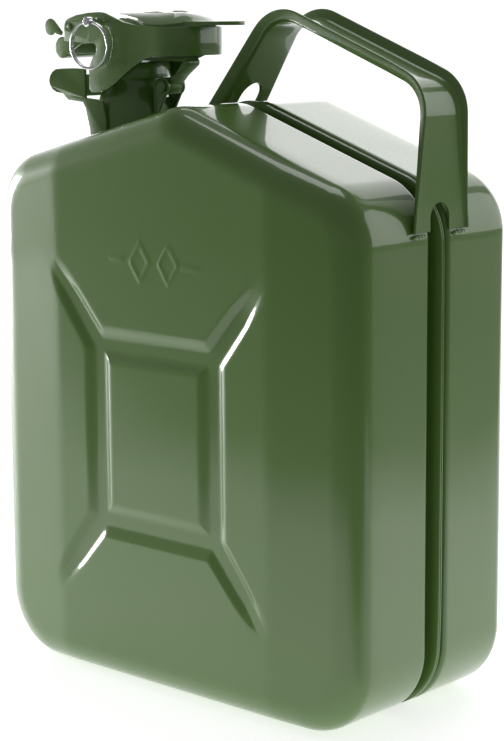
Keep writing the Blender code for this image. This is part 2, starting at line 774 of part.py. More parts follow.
def pivot_pin(mat):
    return rod_y("pivot_pin", PIVOT_X, PIVOT_Z, PIVOT_R, -20.6 * MM, 20.6 * MM, mat, 14)


# ---------------------------------------------------------------- lever
def lever_side():
    """Outline of the lever's side walls (x, z) in millimetres."""
    px, pz = PIVOT_X / MM, PIVOT_Z / MM
    outline = [(-99.2, 299.2), (-99.5, 304.0)]
    outline += arc(px, pz - 0.4, 4.2, 170, 110, 3)
    outline += [(-90.7, 311.6), (-82.0, 312.7), (-74.4, 313.0), (-70.5, 312.6), (-65.0, 310.6), (-58.0, 308.2)]
    outline += [(-50.0, 306.8), (-38.0, 306.1), (-10.0, 305.8), (-10.0, 292.8), (-36.0, 292.8)]
    outline += [(-41.0, 292.3), (-47.0, 290.4), (-53.0, 287.2), (-59.4, 283.0), (-65.0, 279.2), (-69.5, 276.8)]
    outline += [(-74.5, 275.4), (-80.6, 274.9), (-82.3, 276.2), (-82.3, 287.0)]
    outline += arc(-80.0, 295.4, 3.2, -75, 75, 6)
    outline += [(-88.0, 298.6)]
    return outline


def lever(mat):
    """Pressed yoke: two side walls joined by a round end wall at the handle side."""
    half, thick = LEVER_HALF_Y / MM, LEVER_SHEET / MM

    def plan(inset):
        points = [(-104.0, -half + inset), (-60.0, -half + inset), (-48.0, -half + 0.6 + inset)]
        points += [(x, y) for x, y in arc(-37.4, -3.8, 15.2 - inset, -90, 0, 7)]
        return points + [(x, -y) for x, y in reversed(points)]

    outer, inner = plan(0.0), plan(thick)
    bm = bmesh.new()
    loft(bm, [[(x * MM, y * MM, z * MM) for x, y in outer + inner[::-1]] for z in (270, 316)])
    obj = object_from("lever", bm, mat, (PIVOT_X, 0, PIVOT_Z))
    mask = prism_xz("lever_mask", lever_side(), -30, 30)
    boolean(obj, mask, "INTERSECT")
    boolean(obj, rod_y("lever_pivot_bore", PIVOT_X, PIVOT_Z, PIVOT_R + GAP, -24 * MM, 24 * MM, steps=14))
    boolean(obj, rod_y("lever_lock_bore", LOCK_X, LOCK_Z, LOCK_R + GAP, -24 * MM, 0, steps=14))
    return obj


def top_plate(mat):
    """Pressed plate over the lever's round end: a flat ridge with sloping flanks, and the thumb tab."""
    thick = 1.3
    stations = [  # x, ridge half width, ridge z, flank half width, flank z
        (-76.0, 5.0, 312.2, 7.0, 311.6),
        (-74.0, 6.0, 312.5, 8.6, 311.7),
        (-66.0, 6.5, 312.5, 10.4, 311.3),
        (-55.0, 6.5, 312.5, 14.2, 310.0),
        (-48.0, 6.5, 312.5, 16.9, 308.0),
        (-43.5, 6.8, 312.5, 17.4, 307.1),
        (-36.0, 7.0, 312.5, 17.0, 307.0),
        (-31.0, 7.0, 311.9, 15.2, 307.4),
        (-27.0, 7.0, 309.9, 12.0, 307.9),
        (-24.5, 7.0, 308.4, 8.2, 308.0),
    ]
    loops = []
    for x, top, high, foot, low in stations:
        side = [(foot, low), (top, high), (top, high - thick), (foot, low - thick)]
        ring = [(-y, z) for y, z in side[:2]] + [side[1], side[0]] + [side[3], side[2]] + [(-y, z) for y, z in side[2:]]
        loops.append([(x * MM, y * MM, z * MM) for y, z in ring])
    bm = bmesh.new()
    loft(bm, loops)
    obj = object_from("top_plate", bm, mat, (PIVOT_X, 0, PIVOT_Z))
    tab = [(-27.0, -12.0), (-22.6, -11.4), (-13.0, -9.0), (-7.0, -8.4)]
    tab += arc(-8.4, 0.0, 7.4, -58, 58, 6)
    tab += [(-7.0, 8.4), (-13.0, 9.0), (-22.6, 11.4), (-27.0, 12.0)]
    boolean(obj, prism_xy("tab_shape", tab, 306.7, 308.5), "UNION")
    return obj


def cross_bar(mat):
    """Round bar across the open end of the lever, on two side links."""
    bx, bz = BAR_X, BAR_Z
    obj = rod_y("cross_bar", bx, bz, BAR_R, -17.9 * MM, 17.9 * MM, mat, 24)
    link = arc(bx / MM, bz / MM, 4.6, 120, 300, 8) + arc(-91.5, 300.2, 2.6, -60, 120, 6)
    bm = bmesh.new()
    for side in (-1, 1):
        loft(bm, [[(x * MM, side * y * MM, z * MM) for x, z in link] for y in (17.0, 18.3)])
    boolean(obj, object_from("bar_links", bm), "UNION")
    return obj


def paddle(mat):
    """Small leaf with a round end, standing off the cross bar."""
    leaf = [(-103.6, 301.8), (-106.4, 302.4)] + arc(-111.0, 305.9, 4.1, -42, -170, 6)
    leaf += arc(-111.0, 305.9, 4.1, 170, 52, 6) + [(-105.4, 306.2), (-102.6, 303.4)]
    return prism_xz("paddle", leaf, -18.6, -17.4, mat, (BAR_X, 0, BAR_Z))


def plate_rivet(mat):
    profile = [(0, 312.8 * MM), (4.0 * MM, 312.8 * MM), (3.6 * MM, 313.3 * MM), (2.2 * MM, 313.6 * MM), (0, 313.7 * MM)]
    return lathe("plate_rivet", profile, (-40 * MM, 0), mat, 14)


def lock_pin(mat):
    """Pin through the lever's side wall with an eye in its outer end for the pull ring."""
    x, z = LOCK_X, LOCK_Z
    bm = bmesh.new()
    stations = [(-26.4, 1.6), (-25.9, 2.4), (-22.2, 2.4), (-21.9, 2.0), (-21.6, LOCK_R / MM), (-17.9, LOCK_R / MM), (-17.2, 0.8)]
    loops = [
        [(x + r * MM * math.cos(a), y * MM, z + r * MM * math.sin(a)) for a in turns(14)] for y, r in stations
    ]
    loft(bm, loops)
    obj = object_from("lock_pin", bm, mat, (x, 0, z))
    bm = bmesh.new()
    ring = [(1.6 * math.cos(a), 1.6 * math.sin(a)) for a in turns(12)]
    loft(bm, [[((x / MM + u) * MM, (-23.9 + a) * MM, (z / MM + b) * MM) for a, b in ring] for u in (-4, 4)])
    boolean(obj, object_from("pin_eye", bm))
    return obj


def pull_ring(mat):
    """Split ring hanging in the eye of the lock pin."""
    radius = RING_R
    centre = Vector((LOCK_X, -23.9 * MM, LOCK_Z - radius))
    turn = Matrix.Rotation(RING_TURN, 3, "Z")
    axle = turn @ Vector((0, 1, 0))
    bm = bmesh.new()
    loops = []
    for i in range(36):
        a = 2 * math.pi * i / 36
        radial = turn @ Vector((math.cos(a), 0, math.sin(a)))
        loops.append(
            [
                centre + radial * (radius + RING_WIRE * math.cos(b)) + axle * (RING_WIRE * math.sin(b))
                for b in turns(8)
            ]
        )
    loft(bm, loops, closed_ring=True)
    return object_from("pull_ring", bm, mat, (LOCK_X, -23.9 * MM, LOCK_Z))


# ---------------------------------------------------------------- assembly
def place_under(parent, *children):
    bpy.context.view_layer.update()
    for child in children:
        child.parent = parent
        child.matrix_parent_inverse = parent.matrix_world.inverted()


def build():
    clear_scene()
    paint = {}
    for name in (
        "front_shell rear_shell neck_tube handle front_weld rear_weld front_claw rear_bracket hinge_pin cap hinge_arm "
        "pivot_bracket pivot_pin lever top_plate cross_bar paddle plate_rivet cap_rivet"
    ).split():
        paint[name] = material(name + "_paint", GREEN, 0.22, 0.0)
    steel = material("vent_steel", (0.45, 0.45, 0.44, 1), 0.4, 1.0)
    rubber = material("gasket_rubber", (0.02, 0.02, 0.02, 1), 0.8, 0.0)
    chrome_pin = material("pin_chrome", (0.8, 0.8, 0.8, 1), 0.12, 1.0)
    chrome_ring = material("ring_chrome", (0.82, 0.82, 0.82, 1), 0.1, 1.0)

    shell("front_shell", -1, paint["front_shell"])
    shell("rear_shell", 1, paint["rear_shell"])
    lathe("neck_tube", neck_profile(), (NECK_X, 0), paint["neck_tube"], 40)
    vent_tube(steel)
    handle(paint["handle"])
    for name, y in (("front_weld", -14 * MM), ("rear_weld", 14 * MM)):
        weld_bead(name, (HALF_W + 0.9 * MM, y, HANDLE_FOOT_Z - 1.7 * MM), (1.0, 5.0, 1.3), paint[name])
    claw(paint["front_claw"])
    rear_bracket(paint["rear_bracket"])
    hinge_pin(paint["hinge_pin"])

    frame = cap_frame()
    on_cap = [
        cap(paint["cap"]),
        gasket(rubber),
        cap_rivet(paint["cap_rivet"]),
        hinge_arm(paint["hinge_arm"]),
        pivot_bracket(paint["pivot_bracket"]),
        pivot_pin(paint["pivot_pin"]),
    ]
    yoke = lever(paint["lever"])
    on_lever = [
        top_plate(paint["top_plate"]),
        cross_bar(paint["cross_bar"]),
        paddle(paint["paddle"]),
        plate_rivet(paint["plate_rivet"]),
    ]
    pin = lock_pin(chrome_pin)
    ring = pull_ring(chrome_ring)
    place_under(pin, ring)
    place_under(yoke, *on_lever, pin)
    place_under(frame, *on_cap, yoke)
    for obj in bpy.data.objects:
        if obj.parent is None:
            obj.location.x += CENTRING_X


build()
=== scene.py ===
"""Looks of the five litre jerry can: smooth pressed halves, handle and closure, enamel and plating, studio.

Metres, +Z up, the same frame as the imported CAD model. Shapes of the body and the handle follow the same
driving dimensions as the CAD part, with the roundings of real pressed sheet.
"""

import json
import math

import bmesh
import bpy
import numpy as np
from mathutils import Matrix, Vector, noise


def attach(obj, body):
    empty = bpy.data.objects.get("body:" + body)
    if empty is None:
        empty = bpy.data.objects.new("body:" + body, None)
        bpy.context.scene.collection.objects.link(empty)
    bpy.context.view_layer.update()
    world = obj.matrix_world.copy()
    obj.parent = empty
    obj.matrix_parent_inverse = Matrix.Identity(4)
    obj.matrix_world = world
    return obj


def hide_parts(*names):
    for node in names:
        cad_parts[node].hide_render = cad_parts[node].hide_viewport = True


MM = 0.001
CENTRE_X = -0.73 * MM  # the CAD model's own shift onto its axis
SHARP_ABOVE = math.radians(40)  # edges of the new pieces stay sharp above this angle

# body
HALF_W = 114 * MM
HALF_D = 59 * MM
SHEET = 0.9 * MM
EDGE_R = 14.5 * MM  # rounding between the face and the side wall
CORNERS = (  # x, z, radius of the silhouette, counter-clockwise from the left foot
    (-HALF_W, 0, 33 * MM),
    (HALF_W, 0, 33 * MM),
    (HALF_W, 235 * MM, 29 * MM),
    (6.2 * MM, 272.7 * MM, 24 * MM),
    (-HALF_W, 241 * MM, 30 * MM),
)
FACE_CENTRE_Z = 121.2 * MM  # the face's rings close in on this height
FACE_HOLE = 0.012  # size of the flat left in their middle, as a share of the outermost ring
AROUND = 580  # points round each half
FRONT_RINGS, REAR_RINGS = 104, 90
WALL_Y = (38, 34, 30, 26, 22, 20.5, 19, 17.5, 16, 14.5, 13, 11.8, 10.6, 9.6)  # rings down the side wall, mm
INNER_WALL_Y = (11.5, 13.5, 15.5, 17.5, 19.5, 24, 38)  # rings back up its inner side, mm
INNER_EDGE_IN, INNER_EDGE_OUT = 16 * MM, 16.2 * MM  # the inner rounding's reach inwards and outwards

# pressed pattern
CREASE_X = 65 * MM
CREASE_SOFT = 1.8 * MM
MARGIN_SLOPE = 0.10  # fall of the face beyond its creases
PATTERN_X = -2.7 * MM
RING_X = 36.3 * MM
RING_Z_TOP = 161.7 * MM
RING_Z_BOTTOM = 78.3 * MM
ARM_ANGLE = math.radians(50)
ARM_REACH_X = 33 * MM
ARM_FULL = 0.5  # an arm keeps its depth over this share of its length
GROOVE_TOP = 8.9 * MM  # half widths, at the face and at the groove's floor
GROOVE_FLOOR = 3.1 * MM
ARM_TOP = 6.6 * MM  # the same at an arm's end
ARM_FLOOR = 2.2 * MM
GROOVE_DEEP = 1.9 * MM
GROOVE_START, GROOVE_SPAN = 0.03, 0.94  # the part of a smooth step that a groove's side follows
GROOVE_BLEND = 0.12  # softness where grooves meet, as a share of their slope
FACE_BLEND = 0.5 * MM  # softness where a groove crosses the margin's slope

# pressed marks: two dashes with two lozenges between them, x and z in mm
MARK_HIGH = 0.22 * MM
MARK_HALF = 0.55 * MM
DASHES = (((-29, 202.7), (-21, 202.3)), ((17, 201.9), (26.5, 201.5)))
LOZENGE_X = (-10, 8)
LOZENGE_Z = 202
LOZENGE_HALF = (6, 8.6)

# seam channel
CHANNEL_HALF = 6.2 * MM
CHANNEL_DEEP = 7.6 * MM
CHANNEL_LIP = 2.2 * MM  # rounding at its mouth
CHANNEL_FOOT = 1.6 * MM  # rounding at its floor
SEAM_GAP = 0.1 * MM  # from the middle plane to each flange
FLANGE_THICK = 0.95 * MM
FLANGE_EDGE = 0.32 * MM  # rounding of the flange's tip
FLANGE_UNDER, FLANGE_LOW = -0.4 * MM, 1.2 * MM  # past the wall, under the can and round its lower corners
FLANGE_SIDE, FLANGE_ROOF = 2.5 * MM, 0.9 * MM
UNDER_BELOW, LOW_BELOW, ROOF_ABOVE = -0.6, -0.05, 0.5  # upward part of the wall's normal where they change
FLANGE_FADE = 24  # points on each side over which they fade into each other

# neck
NECK_X = -72 * MM
NECK_HOLE_R = 18.3 * MM  # inside the neck tube's wall
NECK_HOLE_REACH = 0.3 * MM
NECK_HOLE_ABOVE = 200 * MM
NECK_WALL = 1.5  # mm, as are the radius and height of each point of the turned profile below
NECK_FOOT = (18.9, 237)
NECK_TAPER = (
    (18.9, 262),
    (18.82, 264),
    (18.55, 266.2),
    (18.0, 268.6),
    (17.2, 271),
    (16.3, 273.2),
    (15.4, 275.2),
    (14.75, 277),
    (14.35, 278.6),
)
NECK_LIP = (
    (14.2, 280),
    (14.2, 281.3),
    (14.5, 281.9),
    (15.1, 282.2),
    (15.5, 282.6),
    (15.6, 283.1),
    (15.45, 283.6),
    (14.95, 283.95),
    (14.3, 284),
    (13.4, 283.9),
    (12.9, 283.4),
    (12.7, 282.6),
    (12.7, 280),
)

# handle
HANDLE_SHEET = 1.2 * MM
HANDLE_FOOT_Z = 219.8 * MM
# corners of the web's hand side, x and z in mm
HANDLE_CORNERS = ((-7.0, 258.0), (30.4, 311.9), (113.2, 279.6), (113.2, 219.8))
HANDLE_BENDS = ((1, 17 * MM), (2, 15 * MM))  # corner and its radius
HANDLE_LOOPS = 150
SECTION_BEND = 2.6 * MM  # between the web and its flanges
SECTION_FLAT = 0.3  # the web's first points, as a share of its half width
SPLAY = math.radians(17)  # the flanges' lean outwards
SHORTEST_FLANGE = 0.75 * MM
# section in mm: half width and height of the top bar, then their change at the left foot and right leg
BAR_HALF, BAR_HIGH = 12.8, 5.5
FOOT_WIDER, FOOT_HIGHER = 4.0, 1.4
LEG_WIDER, LEG_LOWER = 6.4, 3.4
FOOT_UNTIL, LEG_FROM = 0.26, 0.62  # shares of the strip's length
BODY_CLEARANCE = 0.35 * MM
ARCH_HALF = 6.6 * MM
ARCHES = (  # name, x from, x to, z of the foot, z where the round part starts, mm
    ("right", 100, 130, 210, 225.4),
    ("left", -30, 40, 255, 274),
)

# weld beads
BEAD_Y = 14 * MM
BEAD_OUT, BEAD_BELOW = 0.9 * MM, 1.7 * MM  # centre, from the wall and from the handle's foot
BEAD_LENGTH, BEAD_HEIGHT = 5, 1.25  # half sizes, as multiples of its 1 mm depth
BEAD_CLEARANCE = 0.35 * MM

# pull ring
LOCK_X = -77.3 * MM
LOCK_Z = 308.4 * MM
RING_Y = -23.9 * MM
RING_R = 11.0 * MM
RING_TURN = math.radians(8)
RING_WIRE = 0.62 * MM
RING_SHIFT = 0.6 * MM  # of each turn from the ring's middle plane
RING_STEPS, WIRE_SIDES = 192, 12

# CAD nodes that a finer piece stands for, and the other nodes' edge widths in mm
REPLACED = "front_shell rear_shell handle neck_tube front_weld rear_weld pull_ring".split()
BEVELS = {"lever": 0.4, "front_claw": 0.45, "cross_bar": 0.6, "paddle": 0.4, "lock_pin": 0.25}
USUAL_BEVEL = 0.3
BEVEL_ABOVE = math.radians(32)
SOFT_BELOW = math.radians(38)
SAME_POINT = 0.002 * MM
SAME_PLANE = math.radians(0.5)

# camera
CAMERA_AT = Vector((0.64277, -0.6958, 0.3152))
CAMERA_YAW = 0.743
CAMERA_PITCH = 0.1771
CAMERA_ROLL = -0.0073
CAMERA_LENS = 98.9

# studio
PAPER, BARE_FLOOR = (0.86, 0.865, 0.87, 1), (0.4, 0.4, 0.4, 1)
FLOOR_GLOW = 0.7
FLOOR_X, FLOOR_Y = (-4.0, 4.0), (-3.0, 5.0)
ACROSS, AWAY = (0.736, 0.677, 0), (-0.677, 0.736, 0)  # the sweep's directions on the floor
BACKDROP_DARK, BACKDROP_BRIGHT = 0.2, 1.15
LIGHTS = (  # name, place, aim, width, height, watts
    ("overhead", (-0.1, 0.1, 1.7), (0, 0, 0), 0.7, 0.7, 4),
    ("back_box", (-0.5, 1.2, 1.0), (0, 0, 0.25), 1.35, 1.1, 5.6),
    ("key_left", (-1.7, -0.24, 0.26), (0, 0, 0.1), 0.6, 0.48, 22),
    ("right_back", (1.3, 1.7, 0.9), (0, 0, 0.15), 1.5, 1.5, 10),
)


# ---------------------------------------------------------------- materials
def tree_of(name):
    mat = bpy.data.materials.new(name)
    mat.use_nodes = True
    tree = mat.node_tree
    return mat, tree, tree.nodes["Principled BSDF"]


def add(tree, kind, values=(), **settings):
    node = tree.nodes.new(kind)
    for key, value in settings.items():
        setattr(node, key, value)
    for key, value in values:
        node.inputs[key].default_value = value
    return node


def feed(tree, socket, value):
    """Link the value to the socket if it is a socket itself, or set it there."""
    if isinstance(value, bpy.types.NodeSocket):
        tree.links.new(value, socket)
    else:
        socket.default_value = value


def clouds(tree, coords, scale, detail):
    node = add(tree, "ShaderNodeTexNoise", [("Scale", scale), ("Detail", detail)])
    tree.links.new(coords, node.inputs["Vector"])
    return node.outputs["Fac"]


def ramp(tree, source, low, high, a, b):
    """Map source from low..high to a..b."""
    limits = [("From Min", low), ("From Max", high), ("To Min", a), ("To Max", b)]
    node = add(tree, "ShaderNodeMapRange", limits)
    tree.links.new(source, node.inputs["Value"])
    return node.outputs["Result"]


def mix(tree, fac, a, b):
    node = add(tree, "ShaderNodeMix", data_type="RGBA")
    for socket, value in ((node.inputs["Factor"], fac), (node.inputs[6], a), (node.inputs[7], b)):
        feed(tree, socket, value)
    return node.outputs[2]


def maths(tree, operation, a, b):
    node = add(tree, "ShaderNodeMath", operation=operation)
    for socket, value in zip(node.inputs, (a, b)):
        feed(tree, socket, value)
    return node.outputs[0]


def bump(tree, height, distance):
    node = add(tree, "ShaderNodeBump", [("Strength", 1.0), ("Distance", distance)])
    tree.links.new(height, node.inputs["Height"])
    return node


def enamel(name, ripple=1.0):
    """Stoved enamel: even olive green with slight tone drift, orange peel and gentle sheet ripple."""
    mat, tree, shader = tree_of(name)
    coords = add(tree, "ShaderNodeTexCoord").outputs["Object"]
    drift = ramp(tree, clouds(tree, coords, 9, 3), 0.35, 0.65, 0, 1)
    fine = clouds(tree, coords, 700, 2)
    colour = mix(tree, drift, (0.094, 0.190, 0.036, 1), (0.104, 0.202, 0.043, 1))
    tree.links.new(colour, shader.inputs["Base Color"])
    tree.links.new(ramp(tree, fine, 0.3, 0.7, 0.30, 0.38), shader.inputs["Roughness"])
    shader.inputs["Specular IOR Level"].default_value = 0.3
    shader.inputs["Coat Weight"].default_value = 1.0
    shader.inputs["Coat Roughness"].default_value = 0.05
    shader.inputs["Coat IOR"].default_value = 1.5
    peel = bump(tree, clouds(tree, coords, 380, 1), 0.012 * MM)
    wave = bump(tree, clouds(tree, coords, 26, 1), 0.16 * MM * ripple)
    tree.links.new(peel.outputs["Normal"], wave.inputs["Normal"])
    tree.links.new(wave.outputs["Normal"], shader.inputs["Coat Normal"])
    tree.links.new(wave.outputs["Normal"], shader.inputs["Normal"])
    return mat


def metal(name, colour, roughness, spread):
    """Bare or plated metal that drifts to a slightly darker tone, with fine unevenness."""
    mat, tree, shader = tree_of(name)
    coords = add(tree, "ShaderNodeTexCoord").outputs["Object"]
    drift = clouds(tree, coords, 400, 3)
    dark = tuple(c * 0.86 for c in colour[:3]) + (1,)
    tone = mix(tree, ramp(tree, drift, 0.35, 0.65, 0, 1), colour, dark)
    tree.links.new(tone, shader.inputs["Base Color"])
    tree.links.new(ramp(tree, drift, 0.3, 0.7, roughness, roughness + spread), shader.inputs["Roughness"])
    shader.inputs["Metallic"].default_value = 1.0
    uneven = bump(tree, clouds(tree, coords, 900, 2), 0.01 * MM)
    tree.links.new(uneven.outputs["Normal"], shader.inputs["Normal"])
    return mat


def rubber(name):
    mat, tree, shader = tree_of(name)
    coords = add(tree, "ShaderNodeTexCoord").outputs["Object"]
    fine = clouds(tree, coords, 1200, 3)
    colour = mix(tree, ramp(tree, fine, 0.4, 0.7, 0, 1), (0.012, 0.012, 0.012, 1), (0.03, 0.03, 0.03, 1))
    tree.links.new(colour, shader.inputs["Base Color"])
    tree.links.new(ramp(tree, fine, 0.3, 0.7, 0.6, 0.8), shader.inputs["Roughness"])
    return mat


# ---------------------------------------------------------------- shared shapes
def place(name, data):
    obj = bpy.data.objects.new(name, data)
    bpy.context.scene.collection.objects.link(obj)
    return obj


def smooth_mesh(name, verts, faces, mat):
    """A smooth mesh without loose points, its faces pointing out."""
    mesh = bpy.data.meshes.new(name)
    mesh.from_pydata(verts, [], faces)
    bm = bmesh.new()
    bm.from_mesh(mesh)
    bmesh.ops.delete(bm, geom=[v for v in bm.verts if not v.link_faces], context="VERTS")
    bmesh.ops.recalc_face_normals(bm, faces=bm.faces)
    bm.to_mesh(mesh)
    bm.free()
    mesh.shade_smooth()
    if mat:
        mesh.materials.append(mat)
    return mesh


def fillet(before, corner, after, radius):
    """A corner's rounding: its centre, the direction to the point before, and half the corner's angle."""
    u, v = (before - corner).normalized(), (after - corner).normalized()
    half = u.angle(v) / 2
    return corner + (u + v).normalized() * radius / math.sin(half), u, half


def point_at(centre, angle, radius):
    return centre + Vector((math.cos(angle), math.sin(angle))) * radius


def length_along(points):
    return np.concatenate([[0], np.cumsum(np.hypot(*np.diff(points, axis=0).T))])


def quarter(count):
    """`count` angles from zero to a right angle."""
    return [math.pi / 2 * k / (count - 1) for k in range(count)]


def silhouette(count):
    """`count` points evenly spaced round the can with their outward normals, as two (count, 2) arrays."""
    points, angles = [], []
    base = -math.pi
    for i, (x, z, radius) in enumerate(CORNERS):
        before = Vector(CORNERS[i - 1][:2])
        after = Vector(CORNERS[(i + 1) % len(CORNERS)][:2])
        centre, _, half = fillet(before, Vector((x, z)), after, radius)
        turn = math.pi - 2 * half
        for k in range(81):
            angle = base + turn * k / 80
            points.append(point_at(centre, angle, radius))
            angles.append(angle)
        base += turn
    points = np.array([tuple(p) for p in points] + [tuple(points[0])])
    angles = np.array(angles + [angles[0] + 2 * math.pi])
    run = length_along(points)
    at = np.linspace(0, run[-1], count, endpoint=False)
    where = np.stack([np.interp(at, run, points[:, 0]), np.interp(at, run, points[:, 1])], 1)
    angle = np.interp(at, run, angles)
    return where, np.stack([np.cos(angle), np.sin(angle)], 1)


# ---------------------------------------------------------------- pressed halves
def along(x, z, a, b):
    """Share along the segment a..b of each point's nearest spot, and the distance to it."""
    dx, dz = b[0] - a[0], b[1] - a[1]
    t = np.clip(((x - a[0]) * dx + (z - a[1]) * dz) / (dx * dx + dz * dz), 0, 1)
    return t, np.hypot(x - a[0] - t * dx, z - a[1] - t * dz)


def soft_max(a, b, k):
    h = np.clip(0.5 + 0.5 * (a - b) / k, 0, 1)
    return b + (a - b) * h + k * h * (1 - h)


def smooth_step(t):
    t = np.clip(t, 0, 1)
    return t * t * (3 - 2 * t)


def groove_ramp(x, z):
    """How deep the sunk ring and its arms are before smoothing, from 0 on the face to 1 on the floor."""
    x = np.abs(x - PATTERN_X)
    rise = ARM_REACH_X * math.tan(ARM_ANGLE)
    end = RING_X + ARM_REACH_X
    best = np.full_like(x, -1.0)
    for a, b in (
        ((RING_X, RING_Z_BOTTOM), (RING_X, RING_Z_TOP)),
        ((0, RING_Z_TOP), (RING_X, RING_Z_TOP)),
        ((0, RING_Z_BOTTOM), (RING_X, RING_Z_BOTTOM)),
    ):
        slope = (GROOVE_TOP - along(x, z, a, b)[1]) / (GROOVE_TOP - GROOVE_FLOOR)
        best = soft_max(best, slope, GROOVE_BLEND)
    for a, b in (
        ((RING_X, RING_Z_TOP), (end, RING_Z_TOP + rise)),
        ((RING_X, RING_Z_BOTTOM), (end, RING_Z_BOTTOM - rise)),
    ):
        share, away = along(x, z, a, b)
        top = GROOVE_TOP + (ARM_TOP - GROOVE_TOP) * share
        floor = GROOVE_FLOOR + (ARM_FLOOR - GROOVE_FLOOR) * share
        fade = np.clip((1 - share) / (1 - ARM_FULL), 0, 1)
        slope = (top - away) / (top - floor)
        best = soft_max(best, np.where(slope > 0, np.minimum(slope, 1) * fade, slope), GROOVE_BLEND)
    return best


def mark_height(x, z):
    """Raised lines of the pressed marks."""
    best = np.full_like(x, 1.0)
    lines = list(DASHES)
    wide, high = LOZENGE_HALF
    for x0 in LOZENGE_X:
        left, right = (x0 - wide, LOZENGE_Z), (x0 + wide, LOZENGE_Z)
        top, bottom = (x0, LOZENGE_Z + high), (x0, LOZENGE_Z - high)
        lines += [(left, top), (top, right), (right, bottom), (bottom, left)]
    for a, b in lines:
        best = np.minimum(best, along(x, z, (a[0] * MM, a[1] * MM), (b[0] * MM, b[1] * MM))[1])
    return MARK_HIGH * smooth_step((MARK_HALF * 2 - best) / (MARK_HALF * 1.4))


def face_depth(x, z, marks):
    """How far the pressed face lies behind its highest plane."""
    over = np.abs(x) - CREASE_X
    bend = np.where(over < -CREASE_SOFT, 0, (over + CREASE_SOFT) ** 2 / (4 * CREASE_SOFT))
    margin = MARGIN_SLOPE * np.where(over > CREASE_SOFT, over, bend)
    groove = GROOVE_DEEP * smooth_step(groove_ramp(x, z) * GROOVE_SPAN + GROOVE_START)
    depth = soft_max(margin, groove, FACE_BLEND) - FACE_BLEND / 4
    return np.maximum(depth, 0) - (mark_height(x, z) if marks else 0)


def flange_reach(normal):
    """How far the seam flange stands past the wall at each point round the can."""
    up = normal[:, 1]
    reach = np.where(up > LOW_BELOW, FLANGE_SIDE, FLANGE_LOW)
    reach = np.where(up > ROOF_ABOVE, FLANGE_ROOF, reach)
    reach = np.where(up < UNDER_BELOW, FLANGE_UNDER, reach)
    kernel = np.hanning(2 * FLANGE_FADE + 1)
    padded = np.concatenate([reach[-FLANGE_FADE:], reach, reach[:FLANGE_FADE]])
    return np.convolve(padded, kernel / kernel.sum(), "valid")


